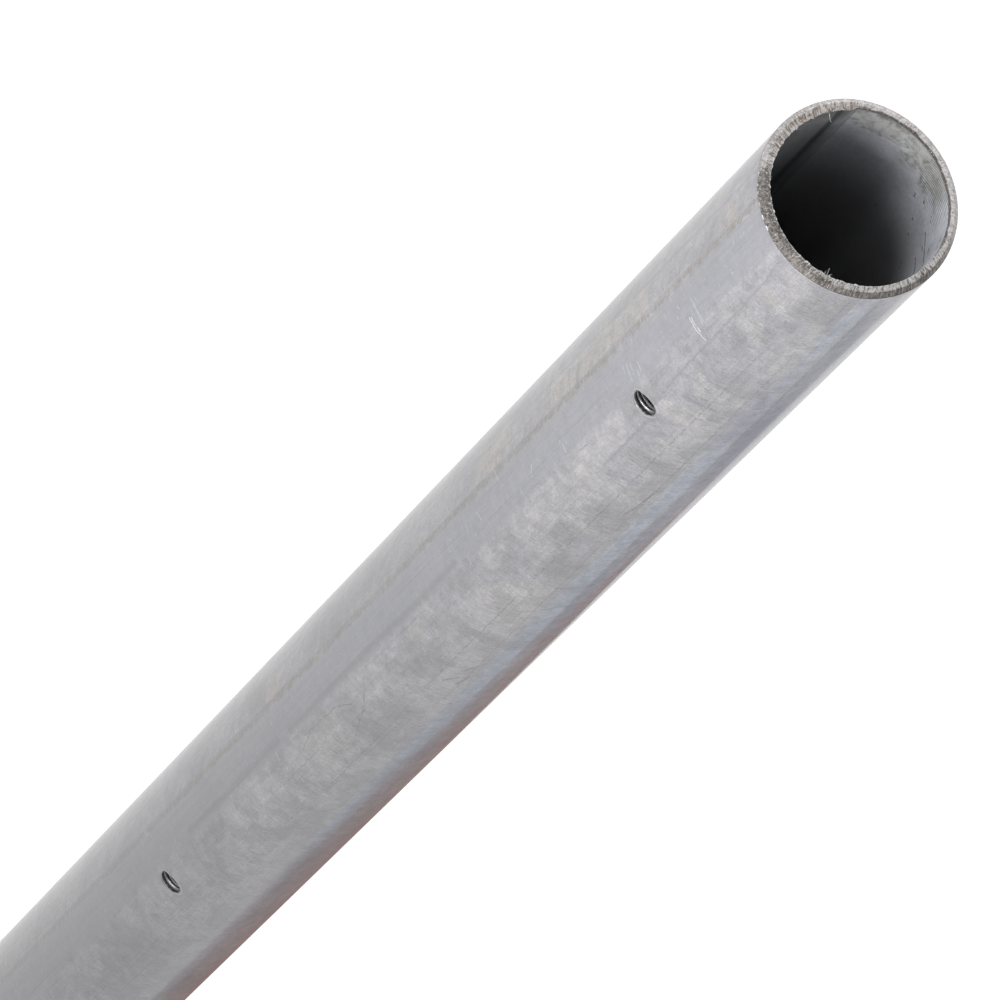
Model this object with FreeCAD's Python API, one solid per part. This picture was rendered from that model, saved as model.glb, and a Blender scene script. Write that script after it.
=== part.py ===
import FreeCAD, Part
import math
import os

# Driving dimensions, in millimetres and degrees.
# The post stands along +Z on its foot, and its tapped holes face -Y.
post_length = 1500.0
tube_diameter = 48.3
wall = 2.6

# Flash of the long weld, left as a low rounded bead on the inside of the tube.
bead_width = 4.0
bead_height = 0.7
bead_angle = 142.0  # round the post from +X towards +Y

# The sawn ends are bevelled on the outside at 45 degrees.
end_bevel = 1.2

# Holes tapped M8 through the front wall, in one line down from the top.
tapping_drill = 6.8
first_hole_drop = 100.0
hole_pitch = 390.0
hole_count = 2

# Run of the drill beyond each face of the wall that it goes through.
drill_overrun = 2.0

outer_radius = tube_diameter / 2
inner_radius = outer_radius - wall


def on_circle(radius, angle):
    """Point in the foot plane at a radius and an angle in degrees from +X."""
    turn = math.radians(angle)
    return FreeCAD.Vector(radius * math.cos(turn), radius * math.sin(turn), 0)


def tube_section():
    """Rolled and welded section: a round outside, and an inside with the weld bead standing in."""
    half_bead = math.degrees(math.asin(bead_width / 2 / inner_radius))
    bead_start = on_circle(inner_radius, bead_angle - half_bead)
    bead_crown = on_circle(inner_radius - bead_height, bead_angle)
    bead_end = on_circle(inner_radius, bead_angle + half_bead)
    far_side = on_circle(inner_radius, bead_angle + 180)
    bead = Part.Arc(bead_start, bead_crown, bead_end).toShape()
    bore = Part.Arc(bead_end, far_side, bead_start).toShape()
    outside = Part.Circle(FreeCAD.Vector(0, 0, 0), FreeCAD.Vector(0, 0, 1), outer_radius).toShape()
    rings = [Part.Wire([outside]), Part.Wire([bead, bore])]
    return Part.makeFace(rings, "Part::FaceMakerBullseye")


def bevel_ends(tube):
    """Bevel the outer edge of both sawn ends."""
    end_edges = [
        edge
        for edge in tube.Edges
        if isinstance(edge.Curve, Part.Circle)
        and edge.isClosed()
        and math.isclose(edge.Curve.Radius, outer_radius)
    ]
    return tube.makeChamfer(end_bevel, end_edges)


def tap_holes(tube):
    """Drill the line of tapping holes through the front wall only."""
    drill_length = wall + 2 * drill_overrun
    drill_start = outer_radius + drill_overrun
    for number in range(hole_count):
        height = post_length - first_hole_drop - number * hole_pitch
        drill = Part.makeCylinder(
            tapping_drill / 2,
            drill_length,
            FreeCAD.Vector(0, -drill_start, height),
            FreeCAD.Vector(0, 1, 0),
        )
        tube = tube.cut(drill)
    return tube


blank = tube_section().extrude(FreeCAD.Vector(0, 0, post_length))
post_tube = tap_holes(bevel_ends(blank)).Solids[0]

os.makedirs("parts", exist_ok=True)
post_tube.exportStep("parts/post_tube.step")
print("post_tube", "valid", post_tube.isValid(), "volume mm3", round(post_tube.Volume, 1))
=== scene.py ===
import math

import bpy
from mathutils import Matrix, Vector, noise


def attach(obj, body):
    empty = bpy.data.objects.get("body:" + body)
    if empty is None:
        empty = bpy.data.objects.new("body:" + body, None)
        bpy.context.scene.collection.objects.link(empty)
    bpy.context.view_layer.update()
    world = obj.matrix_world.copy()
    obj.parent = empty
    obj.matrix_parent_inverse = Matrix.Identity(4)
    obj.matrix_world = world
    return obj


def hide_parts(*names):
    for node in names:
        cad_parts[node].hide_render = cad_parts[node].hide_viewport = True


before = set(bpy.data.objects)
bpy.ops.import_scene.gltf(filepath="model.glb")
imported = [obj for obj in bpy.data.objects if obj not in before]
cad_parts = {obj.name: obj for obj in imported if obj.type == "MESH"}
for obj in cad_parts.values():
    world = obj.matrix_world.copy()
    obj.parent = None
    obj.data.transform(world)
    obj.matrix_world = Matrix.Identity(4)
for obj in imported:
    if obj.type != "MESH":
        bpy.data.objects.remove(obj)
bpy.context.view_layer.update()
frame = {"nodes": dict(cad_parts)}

scene = bpy.context.scene
mm = 0.001
print("frame loaded:", ", ".join(frame["nodes"]))


# Small helpers for the mesh work
def startPiece():
    if bpy.context.object and bpy.context.object.mode != "OBJECT":
        bpy.ops.object.mode_set(mode="OBJECT")
    bpy.ops.object.select_all(action="DESELECT")


def makeActive(piece):
    startPiece()
    piece.select_set(True)
    bpy.context.view_layer.objects.active = piece


def pickEdges(piece, wanted):
    # selects only the edges whose two ends pass the test
    makeActive(piece)
    bpy.ops.object.mode_set(mode="EDIT")
    bpy.ops.mesh.select_mode(type="EDGE")
    bpy.ops.mesh.select_all(action="DESELECT")
    bpy.ops.object.mode_set(mode="OBJECT")
    points = piece.data.vertices
    for edge in piece.data.edges:
        a, b = (points[i].co for i in edge.vertices)
        edge.select = wanted(a / mm, b / mm)
    bpy.ops.object.mode_set(mode="EDIT")


def applyModifier(piece, modifier):
    makeActive(piece)
    bpy.ops.object.modifier_apply(modifier=modifier.name)


# The tube: one ring of the wall drawn up, over the mouth, down the bore and under the foot
postTube = {
    "length": 1500.0,  # millimetres, as all sizes here
    "radius": 24.15,
    "wall": 2.6,
    "bevel": 1.2,
    "segments": 1280,
    "beadAngle": 142.0,  # degrees from +X towards +Y
    "beadWidth": 4.0,
    "beadHeight": 0.7,
    "holeHeights": (1400.0, 1010.0),
    "holeBand": 7.0,  # finer wall this far above and below a hole
    "holeWidth": 10.0,  # and this far to both sides
    "holeCuts": 43,
    "beadSpread": 9.0,  # degrees of finer bore to both sides of the bead
    "beadCuts": 40,
    "footBand": 60.0,  # first ring of the outside above the foot
    "mouthBand": 30.0,  # last one below the mouth
    "boreBand": 90.0,  # end of the finer bore
    "toothPitch": 0.7,
    "fineTooth": 0.4,
    "toothDepth": 0.1,
    "edgeWander": 0.08,
    "foldReach": 0.6,
    "foldTurns": (138, 141, 165, 222),  # degrees where the folded lip grows and fades
    "burrReach": 1.7,
    "burrTurns": (128, 150, 305, 335),
    "burrDepth": 0.6,
    "midRadius": 22.5,
}


def endRings(t):
    # radius and distance from the sawn face, from the outside wall over the bevel to the bore
    outer, inner, bevel = t["radius"], t["radius"] - t["wall"], t["bevel"]
    land = outer - bevel
    return [
        (outer, bevel + 1.6),
        (outer, bevel + 0.1),
        (outer - 0.04, bevel - 0.04),
        (outer - 0.3, bevel - 0.3),
        (outer - 0.6, bevel - 0.6),
        (outer - 0.9, bevel - 0.9),
        (land + 0.06, 0.07),
        (land - 0.04, 0.0),
        (land - 0.3, 0.0),
        (land - 0.6, 0.0),
        (land - 0.9, 0.0),
        (inner + 0.25, 0.0),
        (inner + 0.08, 0.01),
        (inner, 0.1),
        (inner, 0.35),
        (inner, 0.8),
        (inner, 3.0),
    ]


def wallRings(t):
    outer, inner, top = t["radius"], t["radius"] - t["wall"], t["length"]
    rings = [(outer, t["footBand"])]
    for height in reversed(t["holeHeights"]):
        rings += [(outer, height - t["holeBand"]), (outer, height + t["holeBand"])]
    rings += [(outer, top - t["mouthBand"])]
    rings += [(radius, top - drop) for radius, drop in endRings(t)]
    rings += [(inner, top - t["boreBand"]), (inner, t["boreBand"])]
    rings += [(radius, drop) for radius, drop in reversed(endRings(t))]
    return rings


def drawTube(t):
    startPiece()
    rings = wallRings(t)
    radius, height = rings[0]
    bpy.ops.mesh.primitive_circle_add(
        vertices=t["segments"], radius=radius * mm, location=(0, 0, height * mm)
    )
    tube = bpy.context.object
    tube.name = "postTube"
    tube.data.name = "postTube"
    bpy.ops.object.transform_apply(location=True, rotation=True, scale=True)
    bpy.ops.object.mode_set(mode="EDIT")
    bpy.ops.mesh.select_mode(type="EDGE")
    bpy.ops.mesh.select_all(action="SELECT")
    for nextRadius, nextHeight in rings[1:]:
        rise = (nextHeight - height) * mm
        scale = nextRadius / radius
        bpy.ops.mesh.extrude_region_move(TRANSFORM_OT_translate={"value": (0, 0, rise)})
        bpy.ops.transform.resize(value=(scale, scale, 1), center_override=(0, 0, 0))
        radius, height = nextRadius, nextHeight
    bpy.ops.mesh.select_all(action="DESELECT")
    bpy.ops.mesh.select_non_manifold(extend=False)
    bpy.ops.mesh.bridge_edge_loops()
    bpy.ops.mesh.select_all(action="SELECT")
    bpy.ops.mesh.normals_make_consistent(inside=False)
    bpy.ops.object.mode_set(mode="OBJECT")
    return tube


def refineWall(tube, t):
    # more rings only where the holes and the weld bead need them
    for height in t["holeHeights"]:
        low, high = height - t["holeBand"] - 0.1, height + t["holeBand"] + 0.1

        def nearHole(a, b):
            inBand = low < a.z < high and low < b.z < high and abs(a.z - b.z) > 5
            return inBand and abs(a.x) < t["holeWidth"] and a.y < -20 and a.xy.length > 24
        pickEdges(tube, nearHole)
        bpy.ops.mesh.subdivide(number_cuts=t["holeCuts"])

    inner = t["radius"] - t["wall"]
    beadTurn = math.radians(t["beadAngle"])
    way = Vector((math.cos(beadTurn), math.sin(beadTurn)))
    closest = math.cos(math.radians(t["beadSpread"]))

    def onBead(a, b):
        inside = a.xy.length < inner + 0.05 and 50 < abs(a.z - b.z) < 200
        return inside and a.xy.normalized().dot(way) > closest
    pickEdges(tube, onBead)
    bpy.ops.mesh.subdivide(number_cuts=t["beadCuts"])
    bpy.ops.object.mode_set(mode="OBJECT")


def around(turn, size, layer):
    # seamless noise round the tube, its grain about size millimetres
    ring = postTube["midRadius"] / size
    return noise.noise(Vector((math.cos(turn) * ring, math.sin(turn) * ring, layer)))


def smooth(value, low, high):
    share = min(1.0, max(0.0, (value - low) / (high - low)))
    return share * share * (3 - 2 * share)


def stretch(value, start, full, fade, end):
    # 1 between full and fade, easing to 0 at start and end
    return smooth(value, start, full) * (1 - smooth(value, fade, end))


def shapeTube(tube, t):
    outer, inner, top = t["radius"], t["radius"] - t["wall"], t["length"]
    beadTurn = math.radians(t["beadAngle"])
    halfBead = math.asin(t["beadWidth"] / 2 / inner)
    for point in tube.data.vertices:
        x, y, z = point.co / mm
        radius = math.hypot(x, y)
        turn = math.atan2(y, x)
        isTop = z > top / 2
        drop = top - z if isTop else z  # distance from the nearer sawn face
        layer = 0.0 if isTop else 40.0
        lift = 0.0

        # the weld bead stands in from the bore, a little uneven along its length
        away = (turn - beadTurn + math.pi) % (2 * math.pi) - math.pi
        wander = 0.04 * noise.noise(Vector((z / 3.5, 7.0, layer)))
        bead = max(0.0, 1 - (away / (halfBead * (1 + wander))) ** 2) * t["beadHeight"] * (1 + 2 * wander)
        if radius < inner + 0.5:
            share = min(1.0, max(0.0, (inner + 0.5 - radius) / 0.4))
            radius -= bead * share

        # tooth marks across the sawn face and the bevel
        slanted = turn + 0.012 * (radius - t["midRadius"])
        mark = 0.55 * around(slanted, t["toothPitch"], layer)
        mark += 0.45 * around(slanted, t["fineTooth"], layer + 3)
        sway = 0.03 * around(turn, 9.0, layer + 5)
        if drop < t["bevel"] + 0.2 and radius > inner + 0.05:
            depth = max(0.0, t["toothDepth"] * (0.5 + mark) + 0.03 + sway)
            if radius < outer - t["bevel"] + 0.02:
                lift -= depth
            elif radius < outer - 0.1:
                radius -= 0.5 * depth
                lift -= 0.5 * depth
            else:
                chatter = around(turn, 1.1, layer + 7) + 0.6 * around(turn, 0.4, layer + 8)
                lift -= t["edgeWander"] * (1 + chatter)

        # lip folded in beside the weld, and a ragged burr along the inner edge
        if radius < inner + 0.3 and drop < t["burrDepth"]:
            degrees = math.degrees(turn) % 360
            thin = 1 - drop / t["burrDepth"]
            edge = min(1.0, max(0.0, (inner + 0.3 - radius) / 0.2))
            fold = t["foldReach"] * stretch(degrees, *t["foldTurns"])
            left = stretch(degrees, *t["burrTurns"])
            clump = max(0.0, 0.15 + around(turn, 1.6, layer + 9))
            barb = 0.05 + 0.6 * around(turn, 0.75, layer + 11) + 0.5 * around(turn, 0.4, layer + 13)
            barb = max(0.0, barb)
            ragged = 0.02 + 0.3 * clump * (0.25 + barb) + 0.26 * barb
            torn = t["burrReach"] * (0.15 + 0.85 * left) * ragged
            radius -= edge * thin * (max(0.0, fold - bead) + torn)
            lift += 0.12 * edge * thin * ragged * left
        point.co.x = radius * math.cos(turn) * mm
        point.co.y = radius * math.sin(turn) * mm
        point.co.z = (z + lift if isTop else z - lift) * mm


tube = drawTube(postTube)
refineWall(tube, postTube)
shapeTube(tube, postTube)
print("tube drawn:", len(tube.data.polygons), "faces")


# Slivers of metal left hanging on the inner edge of the mouth
hairBurrs = {
    "thickness": 0.07,  # half of it, millimetres
    "sunk": 0.1,  # below the sawn face
    # each sliver: where it starts round the rim, then points as (in from the bore, sideways, up)
    "slivers": [
        (155.0, [(-0.3, 0.0, -0.1), (0.7, 0.1, 0.1), (1.6, 0.5, 0.3), (2.4, 0.6, 0.1), (3.1, 0.3, -0.3)]),
        (153.6, [(-0.3, 0.0, -0.1), (0.3, 0.0, 0.1), (0.6, -0.2, 0.2), (0.9, -0.5, 0.2), (1.0, -0.7, 0.1)]),
        (293.0, [(-0.3, 0.0, -0.1), (0.4, 0.1, 0.2), (0.8, -0.2, 0.4), (1.2, 0.1, 0.5), (1.6, -0.2, 0.7)]),
        (293.8, [(-0.3, 0.0, -0.1), (0.3, 0.2, 0.1), (0.5, 0.4, 0.2), (0.6, 0.5, 0.3), (0.7, 0.7, 0.3)]),
        (292.0, [(-0.3, 0.0, -0.1), (0.2, -0.2, 0.1), (0.4, -0.3, 0.2), (0.6, -0.3, 0.3), (0.9, -0.1, 0.4)]),
    ],
}


def drawSliver(h, angle, path):
    startPiece()
    bpy.ops.curve.primitive_nurbs_path_add()
    sliver = bpy.context.object
    turn = math.radians(angle)
    outward = Vector((math.cos(turn), math.sin(turn), 0))
    sideways = Vector((-outward.y, outward.x, 0))
    bore = postTube["radius"] - postTube["wall"]
    rim = Vector((0, 0, postTube["length"] - h["sunk"]))
    for number, (point, (inward, aside, rise)) in enumerate(zip(sliver.data.splines[0].points, path)):
        place = outward * (bore - inward) + sideways * aside + rim
        place.z += rise
        point.co = (*(place * mm), 1)
        point.radius = 1.0 - 0.16 * number
    sliver.data.bevel_depth = h["thickness"] * mm
    sliver.data.bevel_resolution = 1
    sliver.data.use_fill_caps = True
    bpy.ops.object.convert(target="MESH")
    return bpy.context.object


def addHairBurrs(tube, h):
    slivers = [drawSliver(h, angle, path) for angle, path in h["slivers"]]
    makeActive(tube)
    for sliver in slivers:
        sliver.select_set(True)
    bpy.ops.object.join()


# Tapped holes: a tap is screwed from one thread profile and cut out of the wall
tappedHole = {
    "pitch": 1.25,
    "crestRadius": 3.42,
    "grooveRadius": 3.95,
    "turns": 6,
    "steps": 96,
    "phase": 330.0,  # degrees that the tap is turned, sets where its crest comes out
    "start": 2.6,  # the tap starts this far in front of the wall
    "lipHeight": 0.02,
    "lipRadius": 4.15,
    "lipWidth": 0.28,
    # burr that the drill pushed through, left standing inside as a low collar
    "collarRoot": 5.2,
    "collarTip": 4.5,
    "collarReach": 1.5,
    "collarSunk": 0.6,  # part of it that is inside the wall
}


def drawTap(h, height):
    p, crest, groove = h["pitch"], h["crestRadius"], h["grooveRadius"]
    profile = [
        (crest, 0.08 * p),
        (crest, 0.36 * p),
        (crest + 0.05, 0.42 * p),
        (groove - 0.04, 0.62 * p),
        (groove, 0.65 * p),
        (groove, 0.74 * p),
        (groove - 0.04, 0.77 * p),
        (crest + 0.17, 0.90 * p),
        (crest + 0.06, 0.98 * p),
        (crest, 1.08 * p),
    ]
    startPiece()
    bpy.ops.mesh.primitive_plane_add(size=1 * mm, location=(0, 0, 0))
    tap = bpy.context.object
    tap.name = "tap"
    bpy.ops.object.mode_set(mode="EDIT")
    bpy.ops.mesh.select_mode(type="VERT")
    bpy.ops.mesh.select_all(action="SELECT")
    bpy.ops.mesh.merge(type="CENTER")
    radius, depth = profile[0]
    bpy.ops.transform.translate(value=(radius * mm, depth * mm, 0))
    for nextRadius, nextDepth in profile[1:]:
        step = ((nextRadius - radius) * mm, (nextDepth - depth) * mm, 0)
        bpy.ops.mesh.extrude_vertices_move(TRANSFORM_OT_translate={"value": step})
        radius, depth = nextRadius, nextDepth
    bpy.ops.object.mode_set(mode="OBJECT")
    screw = tap.modifiers.new("thread", "SCREW")
    screw.axis = "Y"
    screw.screw_offset = p * mm
    screw.iterations = h["turns"]
    screw.steps = h["steps"]
    screw.render_steps = h["steps"]
    applyModifier(tap, screw)
    bpy.ops.object.mode_set(mode="EDIT")
    bpy.ops.mesh.select_all(action="SELECT")
    bpy.ops.mesh.remove_doubles(threshold=0.004 * mm)
    bpy.ops.mesh.select_mode(type="EDGE")
    bpy.ops.mesh.select_all(action="DESELECT")
    bpy.ops.mesh.select_non_manifold(extend=False)
    bpy.ops.mesh.fill_holes(sides=0)
    bpy.ops.mesh.select_all(action="SELECT")
    bpy.ops.mesh.quads_convert_to_tris()
    bpy.ops.mesh.normals_make_consistent(inside=False)
    bpy.ops.object.mode_set(mode="OBJECT")
    tap.rotation_euler = (0, math.radians(h["phase"]), 0)
    tap.location = (0, (-postTube["radius"] - h["start"]) * mm, height * mm)
    return tap


def raiseLip(tube, h):
    # the tap has pushed up a thin lip round each hole
    outer = postTube["radius"]
    for point in tube.data.vertices:
        x, y, z = point.co / mm
        if y > -20 or math.hypot(x, y) < outer - 0.3:
            continue
        for height in postTube["holeHeights"]:
            away = math.hypot(x, z - height)
            if away < 6:
                swell = math.exp(-((away - h["lipRadius"]) / h["lipWidth"]) ** 2)
                share = 0.75 + 0.5 * noise.noise(Vector((x / 2.0, z / 2.0, 3.0)))
                grown = (outer + h["lipHeight"] * swell * share) / outer
                point.co.x *= grown
                point.co.y *= grown


def drawCollar(h, height):
    bore = postTube["radius"] - postTube["wall"]
    middle = -bore - h["collarSunk"] / 2 + h["collarReach"] / 2
    startPiece()
    bpy.ops.mesh.primitive_cone_add(
        vertices=72,
        radius1=h["collarRoot"] * mm,
        radius2=h["collarTip"] * mm,
        depth=(h["collarReach"] + h["collarSunk"]) * mm,
        location=(0, middle * mm, height * mm),
        rotation=(-math.pi / 2, 0, 0),
    )
    return bpy.context.object


def combine(tube, tool, operation):
    change = tube.modifiers.new("hole", "BOOLEAN")
    change.operation = operation
    change.solver = "EXACT"
    change.object = tool
    applyModifier(tube, change)
    bpy.data.objects.remove(tool, do_unlink=True)


def tapHoles(tube, h):
    for height in postTube["holeHeights"]:
        combine(tube, drawCollar(h, height), "UNION")
        combine(tube, drawTap(h, height), "DIFFERENCE")


raiseLip(tube, tappedHole)
tapHoles(tube, tappedHole)
addHairBurrs(tube, hairBurrs)
print("holes tapped:", len(tube.data.polygons), "faces")


# Node helpers, which all work on the tree that was opened last
def openTree(owner, empty=False):
    global tree
    owner.use_nodes = True
    tree = owner.node_tree
    if empty:
        tree.nodes.clear()


def feed(socket, value):
    if isinstance(value, bpy.types.NodeSocket):
        tree.links.new(value, socket)
    else:
        socket.default_value = value


def addNode(kind, inputs, **settings):
    node = tree.nodes.new(kind)
    for name, value in settings.items():
        setattr(node, name, value)
    for key, value in inputs.items():
        feed(node.inputs[key], value)
    return node


def calc(operation, a, b=0.0):
    return addNode("ShaderNodeMath", {0: a, 1: b}, operation=operation).outputs[0]


def vectorCalc(operation, a, b=None):
    inputs = {0: a}
    if b is not None:
        inputs["Scale" if operation == "SCALE" else 1] = b
    node = addNode("ShaderNodeVectorMath", inputs, operation=operation)
    return node.outputs["Value" if operation in ("LENGTH", "DISTANCE", "DOT_PRODUCT") else "Vector"]


def times(*values):
    result = values[0]
    for value in values[1:]:
        result = calc("MULTIPLY", result, value)
    return result


def ease(value, low, high, start=0.0, end=1.0):
    # eased step from start to end while the value goes from low to high
    inputs = {"Value": value, "From Min": low, "From Max": high, "To Min": start, "To Max": end}
    return addNode("ShaderNodeMapRange", inputs, interpolation_type="SMOOTHSTEP", clamp=False).outputs[0]


def bandOf(value, centre, half, soft):
    # 1 within half of the centre, fading to 0 over soft
    off = calc("ABSOLUTE", calc("SUBTRACT", value, centre))
    return ease(off, half, half + soft, 1.0, 0.0)


def blendColour(amount, under, over):
    return addNode("ShaderNodeMix", {0: amount, 6: under, 7: over}, data_type="RGBA").outputs[2]


def cover(under, over, *amounts):
    # lays a colour over another by the product of several amounts
    return blendColour(times(*amounts), under, over)


def spread(vector, scale):
    return addNode("ShaderNodeMapping", {"Vector": vector, "Scale": scale}).outputs[0]


def tilt(vector, angle):
    inputs = {"Vector": vector, "Rotation": (0, 0, math.radians(angle))}
    return addNode("ShaderNodeMapping", inputs).outputs[0]


def grain(vector, scale, detail=2.0, roughness=0.5, distortion=0.0):
    inputs = {"Vector": vector, "Scale": scale, "Detail": detail, "Roughness": roughness,
              "Distortion": distortion}
    return addNode("ShaderNodeTexNoise", inputs).outputs["Fac"]


def swing(value, reach):
    # turns 0 to 1 into a factor from 1 - reach to 1 + reach
    inputs = {"Value": value, "From Min": 0.25, "From Max": 0.75, "To Min": 1 - reach, "To Max": 1 + reach}
    return addNode("ShaderNodeMapRange", inputs).outputs[0]


def centred(value, reach):
    # turns 0 to 1 into -reach / 2 to reach / 2
    return times(calc("SUBTRACT", value, 0.5), reach)


def mixIn(value, other, share):
    # adds the swing of a noise to a value
    return calc("ADD", value, centred(other, share))


def tone(colour, factor):
    # multiplies a colour by a plain number
    colour = colour if isinstance(colour, bpy.types.NodeSocket) else colour[:3]
    return vectorCalc("SCALE", colour, factor)


def newMaterial(name, **constants):
    material = bpy.data.materials.new(name)
    openTree(material)
    shader = tree.nodes["Principled BSDF"]
    for socket, value in constants.items():
        shader.inputs[socket.replace("_", " ")].default_value = value
    return material, shader


def postCoords(zero):
    # place in millimetres, turn in degrees from the direction zero, depth below the top in millimetres
    coords = addNode("ShaderNodeTexCoord", {}).outputs["Object"]
    spot = spread(coords, (1000, 1000, 1000))
    x, y, z = addNode("ShaderNodeSeparateXYZ", {0: tilt(spot, -zero)}).outputs
    turn = calc("MULTIPLY", calc("ARCTAN2", y, x), 180 / math.pi)
    depth = calc("SUBTRACT", postTube["length"], z)
    return spot, turn, depth


def flatten(turn, depth, radius):
    # the wall rolled out flat: arc length and depth, both in millimetres
    arc = calc("MULTIPLY", turn, math.radians(radius))
    return addNode("ShaderNodeCombineXYZ", {0: arc, 1: depth}).outputs[0]


def strokeGap(flat, start, end):
    # distance from a straight stroke between two places on the flat wall
    way = end - start
    off = vectorCalc("SUBTRACT", flat, start)
    along = vectorCalc("DOT_PRODUCT", off, way / way.length_squared)
    along = calc("MINIMUM", calc("MAXIMUM", along, 0.0), 1.0)
    nearest = vectorCalc("SCALE", way, along)
    return vectorCalc("DISTANCE", off, nearest)


def strokeSet(flat, strokes, half, soft, radius=postTube["radius"]):
    # 1 on any of several strokes, each given as turn and depth at both ends
    nearest = None
    for turnA, depthA, turnB, depthB in strokes:
        start = Vector((math.radians(turnA) * radius, depthA, 0))
        end = Vector((math.radians(turnB) * radius, depthB, 0))
        gap = strokeGap(flat, start, end)
        nearest = gap if nearest is None else calc("MINIMUM", nearest, gap)
    return ease(nearest, half, half + soft, 1.0, 0.0)


def bumpFrom(height, strength, distance):
    inputs = {"Height": height, "Strength": strength, "Distance": distance}
    return addNode("ShaderNodeBump", inputs).outputs[0]


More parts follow.
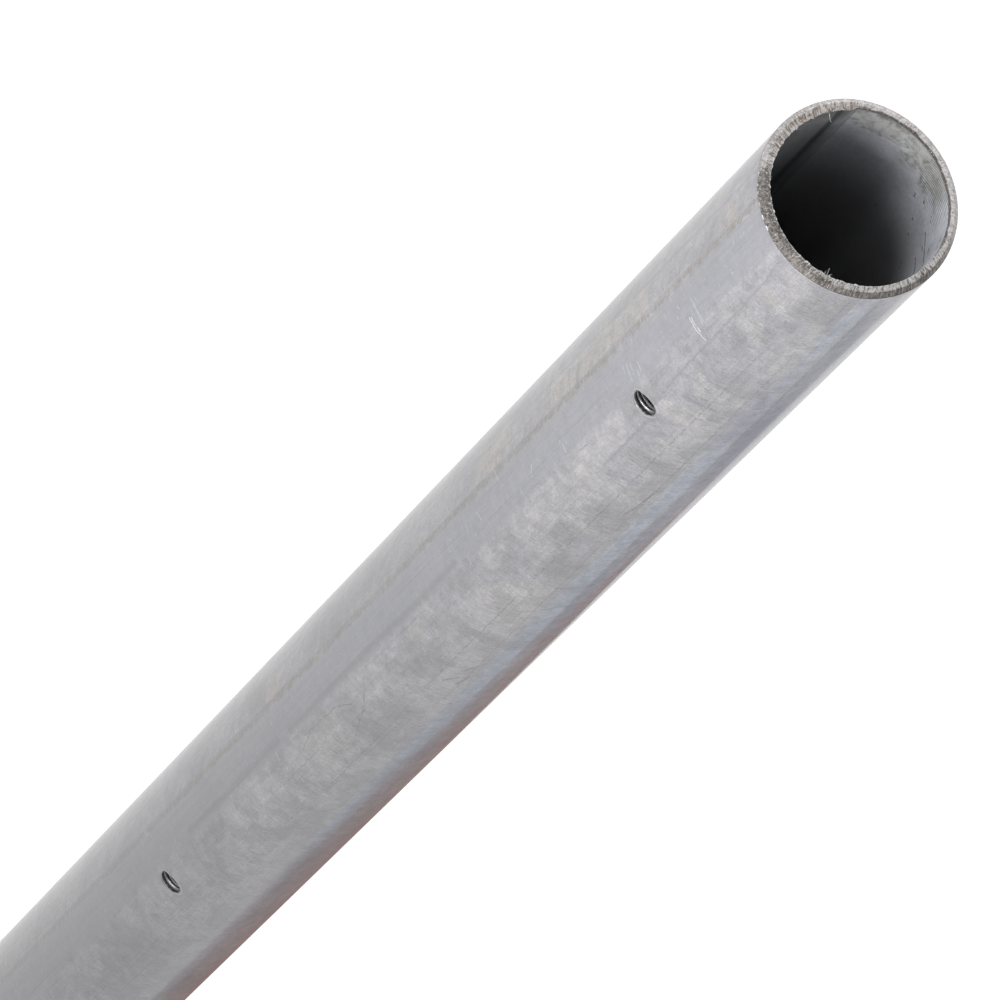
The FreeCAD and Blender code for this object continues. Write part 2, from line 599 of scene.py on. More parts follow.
# Zinc on the outside: dull, brushed round the tube, streaked along it, wiped in patches and scuffed, with a
# painted bluish reflection band near the right edge
zincOutside = {
    "grey": (0.381, 0.373, 0.401, 1),
    "cool": (0.335, 0.332, 0.361, 1),
    "warm": (0.462, 0.449, 0.450, 1),
    "blue": (0.338, 0.341, 0.376, 1),
    "dull": (0.272, 0.270, 0.284, 1),
    "beige": (0.420, 0.390, 0.376, 1),
    "brown": (0.215, 0.182, 0.152, 1),
    "soot": (0.150, 0.150, 0.160, 1),
    "blueReflection": (0.424, 0.444, 0.488, 1),
    "bright": (0.850, 0.850, 0.850, 1),
    # patches as turn and depth at two corners
    "palePatches": [
        (0.5, 16.8, 19.8, 22.0), (5.0, 34.0, 20.0, 39.5), (36.0, 22.0, 42.0, 33.0),
        (11.0, 70.8, 40.5, 78.0), (5.0, 88.0, 40.0, 97.0), (-7.0, 139.5, 31.6, 150.0),
        (-4.0, 151.0, 12.4, 157.5), (8.0, 168.8, 40.0, 172.5), (0.5, 166.0, 11.0, 191.0),
        (22.7, 210.0, 40.5, 243.0), (11.0, 220.0, 24.0, 236.0), (-5.4, 270.0, 14.0, 280.0),
        (-4.0, 341.0, 17.0, 370.0), (21.3, 351.0, 33.0, 357.5), (11.0, 390.6, 24.0, 396.0),
        (-5.4, 405.0, 8.0, 411.0), (-4.0, 425.0, 11.0, 432.0),
    ],
    "beigePatches": [
        (-53.0, 14.5, -39.5, 24.5), (-54.0, 78.0, -40.0, 150.0), (-54.3, 366.0, -38.0, 380.0),
        (-54.0, 178.0, -40.0, 205.0),
    ],
    "darkPatches": [
        (21.0, 3.0, 46.0, 20.8), (17.0, 67.0, 54.0, 71.0), (11.0, 81.0, 40.5, 84.5),
        (11.0, 119.5, 46.0, 127.0), (23.0, 191.0, 47.0, 204.0), (11.0, 251.5, 78.0, 257.5),
        (11.0, 172.5, 25.7, 184.0), (17.0, 312.0, 37.6, 342.0), (-60.0, 380.0, -40.0, 396.0),
        (52.0, 175.0, 76.0, 177.0),
    ],
    "blueReflectionPatches": [
        (46.5, 6.0, 58.5, 46.0), (46.5, 108.0, 58.5, 154.0), (46.5, 158.0, 59.0, 207.0),
        (46.5, 212.0, 59.0, 252.0), (46.5, 259.0, 58.5, 300.0), (48.0, 312.0, 58.5, 348.0),
        (46.5, 372.0, 58.0, 425.0),
    ],
    # strokes as turn and depth at both ends
    "arcScratches": [
        (-16.0, 56.4, -12.4, 56.5), (-12.4, 56.5, -8.1, 56.5), (-8.1, 56.5, -1.2, 56.1),
        (-15.3, 55.3, -12.1, 55.6), (-12.1, 55.6, -6.6, 55.3),
    ],
    "ticks": [
        (-26.4, 59.9, -24.2, 59.4), (-22.7, 72.8, -21.4, 72.7), (-11.0, 23.9, -9.4, 23.6),
        (-17.2, 179.5, -13.8, 180.1), (-17.3, 147.0, -12.6, 147.6), (-16.1, 155.9, -11.9, 156.3),
        (-22.8, 168.2, -18.0, 169.9), (-38.4, 191.7, -31.1, 190.2), (-26.6, 208.9, -20.2, 207.2),
        (-24.9, 217.5, -21.2, 217.7), (35.1, 167.3, 40.0, 168.1), (40.0, 168.1, 43.6, 167.3),
        (53.4, 77.4, 57.1, 76.3), (57.1, 76.3, 63.7, 78.9), (-52.8, 47.9, -50.0, 46.5),
        (-12.5, 224.5, -6.0, 225.0), (-10.5, 384.5, -5.5, 385.5), (1.0, 384.5, 3.0, 385.5),
    ],
    "faintScratches": [
        (-24.4, 99.2, -20.5, 99.6), (-22.2, 95.2, -17.5, 95.5), (-16.6, 93.1, -12.9, 93.3),
        (-23.5, 97.2, -14.0, 98.0), (-20.0, 91.0, -15.0, 91.4), (-24.1, 51.8, -15.3, 51.5),
        (-15.3, 51.5, -8.1, 52.1), (-22.4, 51.2, -12.9, 50.9), (-12.9, 50.9, -6.5, 51.1),
    ],
    "hairlines": [
        (26.3, 44.0, 26.3, 300.0), (28.0, 318.0, 28.2, 381.0), (42.0, 42.0, 41.6, 300.0),
        (-6.9, 130.0, -7.4, 141.0), (-5.4, 313.0, 7.9, 325.0), (7.9, 325.0, 16.8, 343.0),
        (2.0, 329.4, -3.9, 337.5), (-3.9, 337.5, -4.8, 360.0), (-4.8, 360.0, 0.5, 370.0),
        (7.0, 361.0, 7.2, 394.0), (26.0, 400.0, 25.0, 415.0), (42.5, 3.0, 42.4, 20.0),
        (59.2, 3.0, 59.2, 105.0),
    ],
    "creases": [
        (37.4, 155.3, 40.2, 150.6), (40.2, 150.6, 40.8, 145.7), (40.8, 145.7, 42.4, 137.2),
        (40.5, 211.2, 61.0, 208.2), (45.0, 227.5, 52.4, 224.6), (52.4, 224.6, 64.0, 224.4),
        (64.0, 224.4, 79.0, 225.6), (37.4, 278.0, 45.0, 270.0), (31.6, 288.0, 37.5, 283.0),
        (40.0, 288.0, 43.0, 281.0),
    ],
    "smudges": [(-45.3, 128.4, -37.0, 128.5), (-48.0, 127.4, -44.0, 128.0), (33.0, 88.0, 38.0, 88.4)],
    "softLines": [
        (-3.3, 2.0, -0.4, 14.5), (-0.4, 14.5, 1.4, 52.0), (1.4, 52.0, 1.4, 77.0),
        (1.4, 77.0, 3.5, 93.0), (7.9, 105.0, 7.9, 137.0),
    ],
    "blueStreaks": [
        (-13.5, 232.0, -12.9, 261.0), (-12.9, 261.0, -14.3, 300.0), (-14.3, 300.0, -14.3, 370.0),
        (-14.9, 379.0, -14.5, 460.0),
    ],
}


def offCentre(value, low, high):
    # 0 half way between low and high, 1 at both of them
    off = calc("ABSOLUTE", calc("SUBTRACT", value, (low + high) / 2))
    return calc("DIVIDE", off, (high - low) / 2)


def patchSet(turn, depth, patches, soft):
    # 1 inside any of several squarish patches, each given as turn and depth at two corners
    nearest = None
    for turnA, depthA, turnB, depthB in patches:
        gap = calc("MAXIMUM", offCentre(turn, turnA, turnB), offCentre(depth, depthA, depthB))
        nearest = gap if nearest is None else calc("MINIMUM", nearest, gap)
    return ease(nearest, 1 - soft, 1 + soft, 1.0, 0.0)


def sumOf(*values):
    result = values[0]
    for value in values[1:]:
        result = calc("ADD", result, value)
    return result


def cellChance(vector, scale):
    # one chance from 0 to 1 for each squarish cell of the flat wall
    inputs = {"Vector": spread(vector, scale), "Scale": 1.0, "Randomness": 0.9}
    cells = addNode("ShaderNodeTexVoronoi", inputs, distance="CHEBYCHEV", voronoi_dimensions="2D")
    return addNode("ShaderNodeSeparateColor", {0: cells.outputs["Color"]}).outputs[0]


def holeRing(flat, radius, half, soft):
    # a thin ring round each tapped hole on the flat wall
    best = None
    for height in postTube["holeHeights"]:
        place = (0, postTube["length"] - height, 0)
        gap = vectorCalc("DISTANCE", flat, place)
        mark = bandOf(gap, radius, half, soft)
        best = mark if best is None else calc("MAXIMUM", best, mark)
    return best


def makeZincOutside(z):
    material, shader = newMaterial("zincOutside", Metallic=0.15, Coat_Weight=0.55, Coat_Roughness=0.11)
    spot, turn, depth = postCoords(-90)
    weldTurn = postCoords(postTube["beadAngle"] - 180)[1]
    flat = flatten(turn, depth, postTube["radius"])
    rolled = flatten(weldTurn, depth, postTube["radius"])  # its join lies under the weld trace

    cloud = grain(spread(spot, (1, 1, 0.5)), 0.05, 3.0)
    mottle = grain(spread(spot, (1, 1, 0.7)), 0.4, 5.0, 0.7)
    brush = grain(spread(spot, (0.3, 0.3, 1.9)), 1.0, 4.0, 0.65, 0.4)
    lines = grain(spread(spot, (2.0, 2.0, 0.05)), 1.0, 3.0, 0.65)
    streak = grain(spread(spot, (0.9, 0.9, 0.006)), 1.0, 3.0, 0.6)
    hair = grain(spread(spot, (2.4, 2.4, 0.014)), 1.0, 2.0, 0.6)
    fleck = grain(spread(spot, (2.6, 2.6, 1.6)), 1.0, 2.0, 0.6)
    wander = grain(spread(spot, (1, 1, 0.6)), 0.12, 2.0)

    # zones round the tube: beige strip, smooth bluish band, brushed front, scuffed right of it
    sway = centred(wander, 8.0)
    swayed = calc("ADD", turn, sway)
    band = times(ease(turn, -34.8, -33.2), ease(swayed, -15.0, -7.0, 1.0, 0.0))
    front = times(ease(swayed, -14.0, -5.0), ease(turn, 44.0, 50.0, 1.0, 0.0))
    scuffed = times(ease(turn, -6.0, 16.0), ease(turn, 60.0, 100.0, 1.0, 0.0))
    left = times(ease(turn, -57.0, -55.0), ease(turn, -38.0, -35.0, 1.0, 0.0))

    # wiped patches with brushed out edges, some placed and the rest at random
    looseTurn = sumOf(turn, centred(lines, 7.0), centred(wander, 12.0))
    looseDepth = sumOf(depth, centred(brush, 14.0), centred(cloud, 6.0))
    looseWeld = mixIn(weldTurn, lines, 7.0)
    chance = cellChance(flatten(looseWeld, looseDepth, postTube["radius"]), (0.15, 0.07, 1))
    nearDepth = mixIn(depth, brush, 4.0)
    smallWeld = mixIn(weldTurn, lines, 3.0)
    small = cellChance(flatten(smallWeld, nearDepth, postTube["radius"]), (0.36, 0.27, 1))
    share = calc("MAXIMUM", front, ease(band, 0.0, 1.0, 0.55, 0.1))
    pale = times(ease(chance, 0.60, 0.70), share, 0.45)
    pale = calc("MAXIMUM", pale, times(patchSet(looseTurn, looseDepth, z["palePatches"], 0.10), 0.72))
    dark = times(ease(chance, 0.36, 0.22), share, 0.45)
    dark = calc("MAXIMUM", dark, times(patchSet(looseTurn, looseDepth, z["darkPatches"], 0.25), 0.8))
    beige = patchSet(looseTurn, looseDepth, z["beigePatches"], 0.15)
    beige = times(beige, ease(mottle, 0.36, 0.56, 0.4, 0.9))
    colour = blendColour(ease(cloud, 0.34, 0.64), z["cool"], z["grey"])
    colour = blendColour(pale, colour, z["warm"])
    colour = cover(colour, z["dull"], dark, ease(mottle, 0.34, 0.6, 0.5, 1.0))
    colour = cover(colour, z["blue"], band, 0.75)
    colour = blendColour(beige, colour, z["beige"])
    # painted reflection: a pale bluish band near the right edge, in patches
    blueReflectionPatch = patchSet(mixIn(turn, lines, 3.0), looseDepth, z["blueReflectionPatches"], 0.15)
    colour = cover(colour, z["blueReflection"], blueReflectionPatch, ease(mottle, 0.34, 0.6, 0.3, 0.65))
    stains = grain(spread(spot, (0.22, 0.22, 0.1)), 1.0, 4.0, 0.6)
    side = times(ease(turn, -55.0, -62.0), ease(turn, -125.0, -95.0))
    colour = cover(colour, z["dull"], ease(stains, 0.46, 0.62), side, 0.7)
    # each texture as its swing in the smooth band and in the gritty rest of the wall
    shade = calc("ADD", 1.0, centred(brush, calc("ADD", times(scuffed, 0.5), 0.2)))
    for texture, smoothSwing, grittySwing in (
        (mottle, 0.5, 1.0), (fleck, 0.3, 0.8), (lines, 0.22, 0.24), (streak, 0.2, 0.26),
        (cloud, 0.16, 0.2), (small, 0.03, 0.17),
    ):
        reach = ease(band, 0.0, 1.0, grittySwing, smoothSwing)
        shade = times(shade, mixIn(1.0, texture, reach))
    colour = tone(colour, shade)
    colour = cover(colour, z["soot"], ease(hair, 0.62, 0.72), 0.3)

    # short dark scuffs crossing each other, and pits between them
    scuffA = grain(spread(tilt(rolled, 14), (0.3, 1.7, 1)), 1.0, 3.0, 0.6)
    scuffB = grain(spread(tilt(rolled, -20), (0.35, 2.2, 1)), 1.0, 3.0, 0.6)
    worn = calc("MAXIMUM", ease(scuffA, 0.56, 0.68), ease(scuffB, 0.57, 0.69))
    clustered = calc("MAXIMUM", ease(wander, 0.44, 0.60, 0.3, 0.9), dark)
    colour = cover(colour, z["soot"], worn, scuffed, clustered, 0.75)
    dashes = grain(spread(tilt(rolled, 5), (0.4, 3.2, 1)), 1.0, 2.0, 0.5)
    dashes = times(ease(dashes, 0.63, 0.70), ease(small, 0.3, 0.6, 0.3, 1.0), scuffed, 0.7)
    colour = blendColour(dashes, colour, z["soot"])
    pitted = ease(grain(spread(spot, (1, 1, 0.7)), 1.7, 1.0), 0.70, 0.76)
    colour = cover(colour, z["soot"], pitted, calc("ADD", times(scuffed, 0.5), 0.1))
    nicks = ease(grain(spread(spot, (0.9, 0.9, 2.2)), 0.9, 1.0), 0.72, 0.77)
    colour = cover(colour, z["bright"], nicks, calc("ADD", times(band, 0.35), 0.15))

    # brown dotted line down the left, and a fainter one beside it
    line = bandOf(mixIn(turn, mottle, 6.0), -36.8, 0.9, 2.4)
    dots = ease(grain(spread(tilt(flat, 35), (1.6, 0.6, 1)), 0.9, 3.0, 0.6), 0.40, 0.60)
    fade = ease(grain(spread(flat, (0.02, 0.03, 1)), 1.0, 2.0), 0.34, 0.54, 0.7, 1.0)
    dotted = calc("ADD", times(dots, 0.75), 0.22)
    colour = cover(colour, z["brown"], line, dotted, fade, 0.8)
    grit = ease(grain(spot, 1.3, 2.0, 0.5), 0.60, 0.70)
    colour = cover(colour, z["brown"], grit, left, 0.6)
    second = bandOf(turn, -55.8, 0.3, 1.6)
    colour = cover(colour, z["soot"], second, dotted, 0.35)

    # trace of the long weld, ground flat and sprayed with zinc
    fromWeld = calc("SUBTRACT", 180.0, calc("ABSOLUTE", weldTurn))
    ground = ease(mixIn(fromWeld, lines, 1.2), 6.4, 7.4, 1.0, 0.0)
    colour = cover(colour, z["warm"], ground, ease(mottle, 0.35, 0.6, 0.4, 0.8))
    colour = cover(colour, z["soot"], bandOf(fromWeld, 7.0, 0.1, 0.6), 0.35)

    # lip that the tap pushed up, pale on its right side, with a dark line round it
    across = addNode("ShaderNodeSeparateXYZ", {0: flat}).outputs[0]
    upper = ease(across, -1.0, 2.4)
    lip = holeRing(flat, 4.1, 0.04, 0.22)
    colour = cover(colour, z["bright"], lip, upper, ease(mottle, 0.3, 0.5), 0.3)
    rimLine = holeRing(flat, 4.75, 0.06, 0.2)
    colour = cover(colour, z["soot"], rimLine, ease(fleck, 0.35, 0.6), 0.3)

    # marks of handling
    wobble = addNode("ShaderNodeTexNoise", {"Vector": flat, "Scale": 0.35, "Detail": 2.0})
    wobble = wobble.outputs["Color"]
    wobble = vectorCalc("SUBTRACT", wobble, (0.5, 0.5, 0.5))
    wobble = vectorCalc("SCALE", wobble, 1.1)
    drawn = vectorCalc("ADD", flat, wobble)
    for name, half, soft, amount, paint in (
        ("softLines", 0.12, 0.5, 0.32, "soot"), ("blueStreaks", 0.15, 1.4, 0.28, "soot"),
        ("smudges", 0.2, 1.5, 0.38, "soot"), ("hairlines", 0.03, 0.22, 0.72, "soot"),
        ("creases", 0.1, 0.5, 0.65, "soot"), ("faintScratches", 0.03, 0.25, 0.45, "bright"),
        ("ticks", 0.04, 0.2, 0.5, "bright"), ("arcScratches", 0.06, 0.2, 0.9, "bright"),
    ):
        mark = strokeSet(drawn, z[name], half, soft)
        if name in ("hairlines", "creases", "softLines"):
            mark = times(mark, ease(mottle, 0.36, 0.56, 0.25, 1.0))
        colour = cover(colour, z[paint], mark, amount)
    feed(shader.inputs["Base Color"], colour)
    rough = calc("ADD", times(mottle, 0.2), times(scuffed, 0.05))
    feed(shader.inputs["Roughness"], calc("ADD", rough, 0.34))
    height = calc("ADD", times(brush, 0.6), times(streak, 0.4))
    height = calc("ADD", height, times(mottle, 0.4))
    feed(shader.inputs["Normal"], bumpFrom(height, 0.09, 0.0004))
    return material


# Zinc on the inside: smooth and bluish, stained under the rim, dark along the weld with oxide and painted
# shade, and with painted shade under the rim, on the left wall and deeper down the bore
zincInside = {
    "grey": (0.770, 0.792, 0.840, 1),
    "warm": (0.520, 0.506, 0.480, 1),
    "neutralShade": (0.500, 0.503, 0.503, 1),
    "deepShade": (0.350, 0.348, 0.350, 1),
    "stainAndShade": (0.115, 0.110, 0.103, 1),
    "weld": (0.050, 0.055, 0.062, 1),
    # strokes as turn and depth at both ends
    "pits": [
        (62.6, 13.5, 62.0, 14.1), (59.8, 21.9, 59.4, 22.2), (53.7, 25.9, 53.5, 26.1),
        (27.2, 2.8, 26.2, 3.4), (21.8, 3.1, 20.8, 3.5), (70.0, 17.0, 69.8, 17.2),
        (48.0, 12.0, 47.8, 12.2),
    ],
    "streaks": [
        (44.0, 15.5, 38.0, 15.4), (38.0, 15.4, 32.4, 15.1), (32.4, 15.1, 24.0, 13.0),
        (24.0, 13.0, 14.6, 9.7), (32.6, 20.8, 25.0, 19.0), (25.0, 19.0, 16.1, 16.3),
        (37.0, 17.0, 33.0, 16.6), (30.0, 11.5, 26.0, 11.0),
    ],
}


def makeZincInside(z):
    material, shader = newMaterial("zincInside", Metallic=0.1)
    bore = postTube["radius"] - postTube["wall"]
    spot, turn, depth = postCoords(0)
    flat = flatten(turn, depth, bore)
    speck = grain(spot, 1.1, 4.0, 0.6)
    cloud = grain(spot, 0.14, 3.0)
    # painted shade: the wall left of the weld in a darker neutral grey
    beside = bandOf(turn, 172.0, 26.0, 10.0)
    colour = blendColour(beside, z["grey"], z["neutralShade"])
    colour = tone(colour, swing(speck, 0.16))
    colour = tone(colour, swing(cloud, 0.2))
    # painted shade: the bore darkens from about 14 to 44 mm below the rim
    colour = blendColour(ease(mixIn(depth, cloud, 12.0), 14.0, 44.0), colour, z["deepShade"])

    # painted shade of the folded lip at the upper left, and painted shade deeper down on the wall to the
    # right of it
    shaded = times(ease(depth, 2.5, 9.0, 1.0, 0.0), bandOf(turn, 158.0, 16.0, 10.0))
    colour = tone(colour, calc("SUBTRACT", 1.0, times(shaded, 0.55)))
    dim = times(ease(depth, 5.0, 12.0), bandOf(turn, 116.0, 22.0, 24.0))
    colour = tone(colour, calc("SUBTRACT", 1.0, times(dim, 0.35)))

    # warm stain under the rim with squiggly dark outlines
    near = bandOf(turn, 96.0, 34.0, 16.0)
    wavy = grain(spread(flat, (0.8, 1.0, 1)), 0.2, 5.0, 0.62, 0.8)
    edgeDepth = mixIn(depth, wavy, 26.0)
    stained = times(ease(edgeDepth, 5.0, 15.0, 1.0, 0.0), near)
    colour = cover(colour, z["warm"], stained, 0.75)
    patchy = grain(spread(flat, (1.0, 0.8, 1)), 0.42, 6.0, 0.7, 0.6)
    smear = times(ease(patchy, 0.40, 0.78), stained, 0.75)
    colour = blendColour(smear, colour, z["stainAndShade"])
    squiggle = ease(grain(flat, 0.9, 3.0, 0.6), 0.38, 0.58)
    outline = times(bandOf(edgeDepth, 8.2, 0.3, 1.8), squiggle, near, 0.5)
    colour = blendColour(outline, colour, z["stainAndShade"])
    # painted shade: a dark band just under the rim near the top
    under = times(ease(depth, 1.2, 4.2, 1.0, 0.0), bandOf(turn, 118.0, 20.0, 18.0))
    colour = cover(colour, z["stainAndShade"], under, ease(patchy, 0.36, 0.6, 0.05, 0.55))
    # painted shadow: a broken dark line right under the rim edge, where the burr overhangs
    edge = times(ease(mixIn(depth, patchy, 3.0), 0.4, 1.0, 1.0, 0.0), bandOf(turn, 85.0, 62.0, 10.0))
    colour = cover(colour, z["stainAndShade"], edge, 0.8)

    # drawing marks like wood grain near the right rim
    ripple = addNode("ShaderNodeTexWave", {
        "Vector": tilt(flat, -23), "Scale": 0.38, "Distortion": 6.0, "Detail": 3.0, "Detail Scale": 0.3,
    }, bands_direction="Y").outputs["Fac"]
    zone = times(bandOf(turn, 60.0, 14.0, 12.0), bandOf(mixIn(depth, wavy, 8.0), 6.0, 4.0, 4.0))
    colour = cover(colour, z["stainAndShade"], ease(ripple, 0.40, 0.95), zone, 0.65)
    pits = ease(grain(spot, 0.62, 2.0, 0.4), 0.745, 0.765)
    pits = calc("MAXIMUM", pits, strokeSet(flat, z["pits"], 0.12, 0.3, bore))
    colour = cover(colour, z["stainAndShade"], pits, 0.8)
    streaks = strokeSet(flat, z["streaks"], 0.08, 0.4, bore)
    colour = cover(colour, z["stainAndShade"], streaks, ease(speck, 0.36, 0.52), 0.9)

    # dark oxide beside the weld, with painted shade along the bead's left flank and a painted dark line at
    # its right foot
    flankShadeAndOxide = bandOf(turn, 145.4, 0.5, 1.9)
    flank = bandOf(turn, 140.0, 3.2, 2.0)
    colour = cover(colour, z["weld"], flank, 0.35)
    colour = cover(colour, z["weld"], flankShadeAndOxide, 0.8)
    fine = times(bandOf(turn, 135.6, 0.1, 0.6), ease(depth, 4.0, 26.0, 1.0, 0.0))
    colour = cover(colour, z["weld"], fine, 0.45)
    feed(shader.inputs["Base Color"], colour)
    feed(shader.inputs["Roughness"], calc("ADD", times(speck, 0.15), 0.38))
    feed(shader.inputs["Normal"], bumpFrom(speck, 0.08, 0.0003))
    return material


# Bare sawn steel on the end faces and bevels, with painted glints, painted light at the upper left and
# painted shade on the front bevel
sawnSteel = {
    "landDull": (0.105, 0.094, 0.086, 1),
    "landBright": (0.600, 0.582, 0.570, 1),
    "farDull": (0.400, 0.380, 0.374, 1),
    "farBright": (0.690, 0.664, 0.655, 1),
    "bevelDull": (0.350, 0.336, 0.328, 1),
    "bevelBright": (0.610, 0.588, 0.580, 1),
    "grimyAndShaded": (0.065, 0.057, 0.052, 1),
    "grey": (0.240, 0.220, 0.205, 1),
    "glint": (0.950, 0.940, 0.930, 1),
    "rust": (0.250, 0.178, 0.130, 1),
}


def makeSawnSteel(s):
    material, shader = newMaterial("sawnSteel", Metallic=0.55)
    spot, turn = postCoords(-90)[:2]
    farTurn = postCoords(85)[1]  # from the far right of the mouth
    across = spread(spot, (1, 1, 0))
    radius = vectorCalc("LENGTH", across)
    ring = vectorCalc("NORMALIZE", across)
    aside = tilt(ring, 90)
    lean = times(calc("SUBTRACT", radius, 22.3), 0.012)
    aside = vectorCalc("SCALE", aside, lean)
    way = vectorCalc("ADD", ring, aside)
    along = addNode("ShaderNodeCombineXYZ", {2: times(radius, 0.012)}).outputs[0]
    way = vectorCalc("ADD", way, along)
    marks = grain(way, 46.0, 3.0, 0.6)
    fine = grain(way, 110.0, 2.0, 0.5)
    patches = grain(spot, 0.3, 3.0, 0.6)
    pits = grain(spot, 1.6, 4.0, 0.7)
    lines = calc("ADD", times(marks, 0.6), times(fine, 0.4))
    lines = mixIn(mixIn(lines, patches, 0.25), pits, 0.25)

    # the face in its zones: pale at the far right, beige at the upper left from rust and painted light, torn
    # at the left
    onBevel = ease(mixIn(radius, pits, 0.25), 22.85, 23.05)
    onLand = calc("SUBTRACT", 1.0, onBevel)
    far = bandOf(farTurn, 0.0, 60.0, 25.0)
    torn = times(bandOf(turn, -28.0, 18.0, 18.0), ease(patches, 0.24, 0.42))
    litAndRustyUpperLeft = bandOf(turn, -100.0, 28.0, 18.0)
    frontBevelShade = bandOf(turn, 32.0, 64.0, 32.0)
    silver = bandOf(turn, 58.0, 16.0, 14.0)
    land = blendColour(ease(lines, 0.42, 0.60), s["landDull"], s["landBright"])
    farLand = blendColour(ease(lines, 0.38, 0.56), s["farDull"], s["farBright"])
    land = blendColour(far, land, farLand)
    # painted shadow along the inner edge of the land at the far right, under the burr
    worn = times(far, ease(mixIn(radius, patches, 1.2), 22.1, 21.85), 0.85)
    land = blendColour(worn, land, s["grimyAndShaded"])
    spots = times(ease(pits, 0.56, 0.66), bandOf(turn, 14.0, 18.0, 12.0), 0.7)
    land = blendColour(spots, land, s["rust"])
    # painted light on the land at the upper left; the land is also paler at the front right
    lighter = times(calc("MAXIMUM", litAndRustyUpperLeft, silver), ease(lines, 0.34, 0.56), 0.8)
    land = blendColour(lighter, land, s["landBright"])
    land = cover(land, s["rust"], litAndRustyUpperLeft, ease(marks, 0.54, 0.42), 0.75)
    bevelled = blendColour(ease(lines, 0.38, 0.62), s["bevelDull"], s["bevelBright"])
    # painted shade: the bevel at the front is darkened
    grimyAndShaded = blendColour(ease(lines, 0.38, 0.66), s["grimyAndShaded"], s["grey"])
    bevelled = blendColour(frontBevelShade, bevelled, grimyAndShaded)
    colour = cover(land, bevelled, onBevel, 0.95)
    mottled = blendColour(ease(pits, 0.36, 0.60), s["grimyAndShaded"], s["grey"])
    mottled = blendColour(ease(pits, 0.60, 0.74), mottled, s["landBright"])
    colour = cover(colour, mottled, torn, 0.85)

    # painted glints along the teeth marks and in loose specks, and dark specks between them
    crumbs = grain(spot, 3.2, 2.0, 0.5)
    sharp = calc("ADD", times(fine, 0.5), times(crumbs, 0.5))
    shown = calc("SUBTRACT", 0.8, times(frontBevelShade, onBevel, 0.5))
    colour = cover(colour, s["glint"], ease(sharp, 0.585, 0.66), shown)
    colour = cover(colour, s["grimyAndShaded"], ease(sharp, 0.44, 0.34), 0.6)

    # zinc glints on the outer corner at the left, and a dark line below it on the right
    corner = ease(radius, 23.9, 24.05)
    glints = ease(grain(ring, 16.0, 2.0, 0.5), 0.52, 0.64)
    colour = cover(colour, s["glint"], corner, glints, bandOf(turn, -36.0, 26.0, 16.0), 0.9)
    colour = cover(colour, s["grimyAndShaded"], corner, bandOf(turn, 36.0, 34.0, 20.0), 0.75)
    # painted glints on the inner lip at the front and on the slivers that hang into the mouth
    lip = times(ease(radius, 21.7, 21.45), ease(pits, 0.34, 0.56), bandOf(turn, 10.0, 60.0, 40.0))
    hair = ease(radius, 20.8, 20.5)  # slivers that hang into the mouth
    colour = blendColour(calc("MAXIMUM", times(lip, 0.8), hair), colour, s["glint"])
    feed(shader.inputs["Base Color"], colour)
    rough = calc("ADD", times(patches, 0.15), times(calc("MAXIMUM", torn, onBevel), 0.12))
    feed(shader.inputs["Roughness"], calc("ADD", rough, 0.22))
    height = calc("ADD", lines, times(pits, calc("ADD", torn, 0.2)))
    feed(shader.inputs["Normal"], bumpFrom(height, 0.8, 0.0003))
    return material


# Cut threads: grey, darkened with grime and painted shade, with a painted highlight on one crest that fades
# towards its left
threadSteel = {
    "bright": (0.800, 0.795, 0.790, 1),
    "dull": (0.150, 0.147, 0.145, 1),
    "grimeAndShade": (0.045, 0.043, 0.041, 1),
    "brightCrest": 1.58,  # its depth in the wall, millimetres
}


def makeThreadSteel(s):
    material, shader = newMaterial("threadSteel", Metallic=0.4)
    spot = postCoords(-90)[0]
    speck = grain(spot, 1.8, 4.0, 0.6)
    x, y, z = addNode("ShaderNodeSeparateXYZ", {0: spot}).outputs
    nearest = None
    for height in postTube["holeHeights"]:
        off = addNode("ShaderNodeCombineXYZ", {0: x, 1: calc("SUBTRACT", z, height)}).outputs[0]
        far = vectorCalc("LENGTH", off)
        nearest = far if nearest is None else calc("MINIMUM", nearest, far)
    crest = ease(mixIn(nearest, speck, 0.15), 3.72, 3.6)
    # painted highlight on one crest, strongest on its right side
    crestHighlight = bandOf(y, s["brightCrest"] - postTube["radius"], 0.1, 0.14)
    crestHighlight = times(crestHighlight, ease(x, -2.0, 0.8, 0.1, 1.0))
    colour = blendColour(ease(speck, 0.40, 0.62), s["grimeAndShade"], s["dull"])
    colour = cover(colour, s["bright"], crestHighlight, crest)
    feed(shader.inputs["Base Color"], colour)
    feed(shader.inputs["Roughness"], calc("SUBTRACT", 0.5, times(crestHighlight, 0.3)))
    feed(shader.inputs["Normal"], bumpFrom(speck, 0.2, 0.0003))
    return material


def finishTube(tube):
    inner, top = postTube["radius"] - postTube["wall"], postTube["length"]
    slack = 0.02
    tube.data.materials.clear()
    for material in (makeZincOutside(zincOutside), makeZincInside(zincInside), makeSawnSteel(sawnSteel),
                     makeThreadSteel(threadSteel)):
        tube.data.materials.append(material)
    for face in tube.data.polygons:
        x, y, z = face.center / mm
        radius = math.hypot(x, y)
        drop = min(z, top - z)
        offHole = min(math.hypot(x, z - height) for height in postTube["holeHeights"])
        inHole = y < -15 and offHole < tappedHole["grooveRadius"] + slack
        onBore = radius < inner + slack
        if inHole and abs(face.normal.y) < 0.85:
            face.material_index = 3
        elif drop < postTube["bevel"] and not (onBore and drop > 0.3):
            face.material_index = 2
        elif onBore:
            face.material_index = 1
        else:
            face.material_index = 0
    makeActive(tube)
    bpy.ops.object.shade_smooth_by_angle(angle=math.radians(35))
    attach(tube, "root")
    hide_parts("post_tube")


finishTube(tube)
print("tube finished")


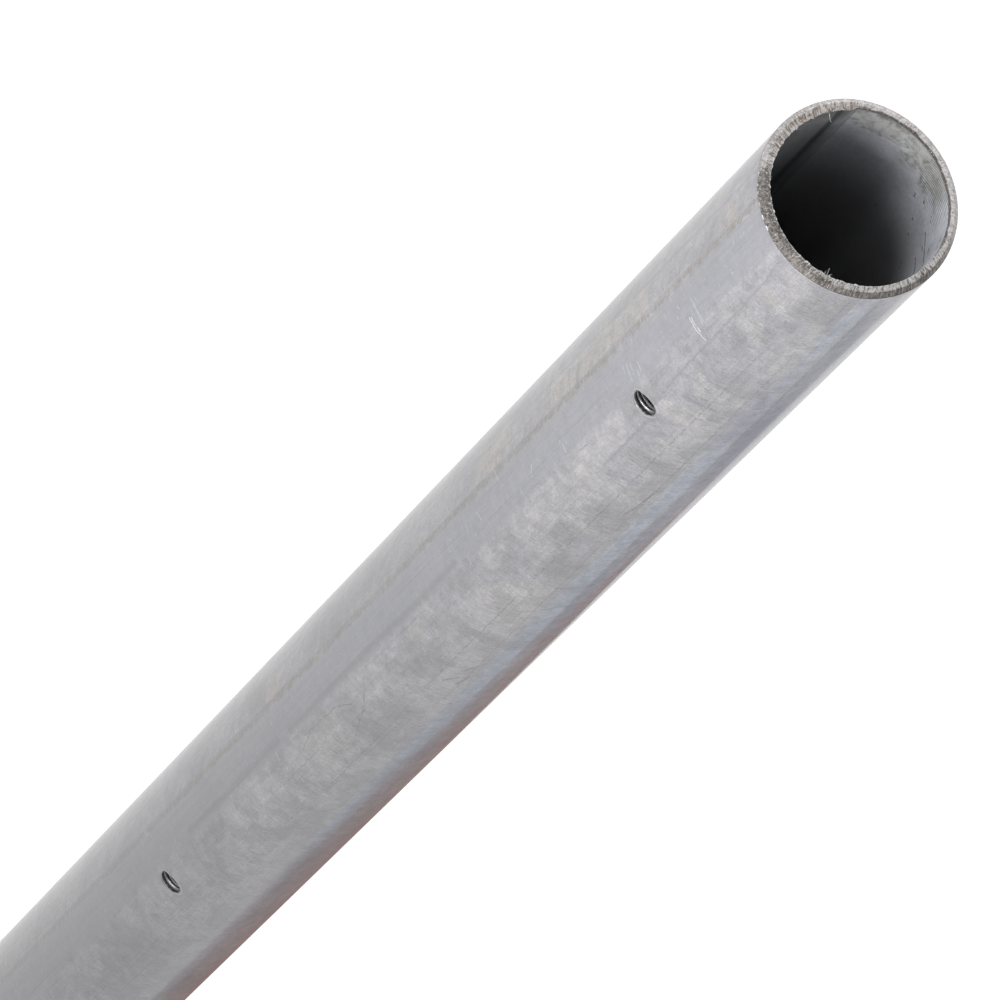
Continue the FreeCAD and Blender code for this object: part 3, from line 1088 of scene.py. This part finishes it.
# Floor, light and camera
studio = {
    "floorSize": 60.0,
    "footInside": (0.0215, 0.0242),  # the floor's glow fades out between these under the foot
    "paper": (0.35, 0.35, 0.35, 1),
    "floorLift": 0.97,  # makes the lit floor white in the picture and in reflections
    "wallGlow": 0.08,  # pale walls of the room
    "ceilingGlow": 0.05,
    "backGlow": 0.25,  # more of it behind the post
    # softboxes, each aimed at a height up the post
    "boxes": {
        "leftBox": {"place": (-0.511, -0.609, 1.87), "size": 0.5, "power": 3.6, "aim": 1.42},
        "frontBox": {"place": (0.133, -0.534, 1.58), "size": 0.3, "power": 2.55, "aim": 1.42},
        "rightBox": {"place": (1.4, 0.9, 1.9), "size": 1.2, "power": 2.5, "aim": 1.42},
        "backBox": {"place": (-0.9, 1.5, 1.9), "size": 1.2, "power": 12.0, "aim": 1.42},
    },
    # cards lying flat on the floor out of the picture, for the bands at the right edge
    "cards": {
        "blueCard": {"corners": [(0.50, 0.0), (0.86, 0.0), (0.80, 0.28), (0.47, 0.17)],
                     "colour": (0.74, 0.84, 1.0, 1), "height": 0.001},
        "greyCard": {"corners": [(0.45, 0.18), (0.82, 0.32), (0.52, 0.66), (0.30, 0.38)],
                     "colour": (0.34, 0.36, 0.48, 1), "height": 0.002},
        "mauveCard": {"corners": [(0.526, 0.093), (0.555, 0.27), (0.512, 0.527), (0.256, 0.575),
                                  (0.08, 0.54), (0.03, 0.40), (0.40, 0.02)],
                      "colour": (0.51, 0.44, 0.45, 1), "height": 0.003},
        "brownCard": {"corners": [(0.505, 0.170), (0.512, 0.343), (0.440, 0.580), (0.235, 0.570),
                                  (0.08, 0.53), (0.03, 0.40), (0.38, 0.10)],
                      "colour": (0.350, 0.205, 0.170, 1), "height": 0.004},
    },
}


def makeFloor(s):
    startPiece()
    bpy.ops.mesh.primitive_plane_add(size=s["floorSize"], location=(0, 0, 0))
    floor = bpy.context.object
    floor.name = "studioFloor"
    material = bpy.data.materials.new("paleFloor")
    openTree(material, empty=True)
    path = addNode("ShaderNodeLightPath", {})
    seen = calc("MAXIMUM", path.outputs["Is Camera Ray"], path.outputs["Is Glossy Ray"])
    seen = calc("MAXIMUM", seen, path.outputs["Is Transmission Ray"])
    paper = addNode("ShaderNodeBsdfDiffuse", {"Color": s["paper"]})
    place = addNode("ShaderNodeTexCoord", {}).outputs["Object"]
    far = vectorCalc("LENGTH", place)
    outside = ease(far, *s["footInside"])
    strength = times(seen, outside, s["floorLift"])
    lift = addNode("ShaderNodeEmission", {"Color": (1, 1, 1, 1), "Strength": strength})
    both = addNode("ShaderNodeAddShader", {0: paper.outputs[0], 1: lift.outputs[0]})
    addNode("ShaderNodeOutputMaterial", {"Surface": both.outputs[0]})
    floor.data.materials.append(material)


def makeWorld(s):
    world = bpy.data.worlds.new("studioWorld")
    scene.world = world
    openTree(world, empty=True)
    path = addNode("ShaderNodeLightPath", {})
    way = addNode("ShaderNodeTexCoord", {}).outputs["Generated"]
    y, z = addNode("ShaderNodeSeparateXYZ", {0: way}).outputs[1:]
    glow = ease(z, 0.2, 0.95, s["wallGlow"], s["ceilingGlow"])
    glow = calc("ADD", glow, ease(y, 0.1, 0.8, 0.0, s["backGlow"]))
    seen = calc("MAXIMUM", path.outputs["Is Camera Ray"], path.outputs["Is Glossy Ray"])
    seen = calc("MAXIMUM", seen, path.outputs["Is Transmission Ray"])
    strength = calc("MAXIMUM", glow, seen)
    glow = addNode("ShaderNodeBackground", {"Color": (1, 1, 1, 1), "Strength": strength})
    addNode("ShaderNodeOutputWorld", {"Surface": glow.outputs[0]})


def addSoftbox(name, box):
    startPiece()
    bpy.ops.object.light_add(type="AREA", location=box["place"])
    lamp = bpy.context.object
    lamp.name = name
    lamp.data.shape = "SQUARE"
    lamp.data.size = box["size"]
    lamp.data.energy = box["power"]
    away = Vector((0, 0, box["aim"])) - Vector(box["place"])
    lamp.rotation_euler = away.to_track_quat("-Z", "Y").to_euler()
    lamp.visible_camera = False


def addCard(name, card):
    # a flat card drawn from its corners, seen only in reflections
    startPiece()
    bpy.ops.mesh.primitive_circle_add(vertices=len(card["corners"]), radius=0.1, fill_type="NGON")
    piece = bpy.context.object
    piece.name = name
    for point, (x, y) in zip(piece.data.vertices, card["corners"]):
        point.co = (x, y, card["height"])
    material = bpy.data.materials.new(name)
    openTree(material, empty=True)
    glow = addNode("ShaderNodeEmission", {"Color": card["colour"], "Strength": 1.0})
    addNode("ShaderNodeOutputMaterial", {"Surface": glow.outputs[0]})
    piece.data.materials.append(material)
    piece.visible_camera = False
    piece.visible_diffuse = False
    piece.visible_shadow = False


makeFloor(studio)
makeWorld(studio)
for boxName, box in studio["boxes"].items():
    addSoftbox(boxName, box)
for cardName, card in studio["cards"].items():
    addCard(cardName, card)

shot = {
    "place": (0.07286, -1.13166, 3.53375),
    "turn": (19.6591, -18.1954, 45.3574),  # degrees
    "lens": 371.02,
    "sensor": 36,
    "clipEnd": 200,
}
bpy.ops.object.camera_add(location=shot["place"], rotation=[math.radians(a) for a in shot["turn"]])
camera = bpy.context.object
camera.name = "shotCamera"
camera.data.lens = shot["lens"]
camera.data.sensor_width = shot["sensor"]
camera.data.clip_end = shot["clipEnd"]
scene.camera = camera
scene.view_settings.view_transform = "Standard"
print("stage set")
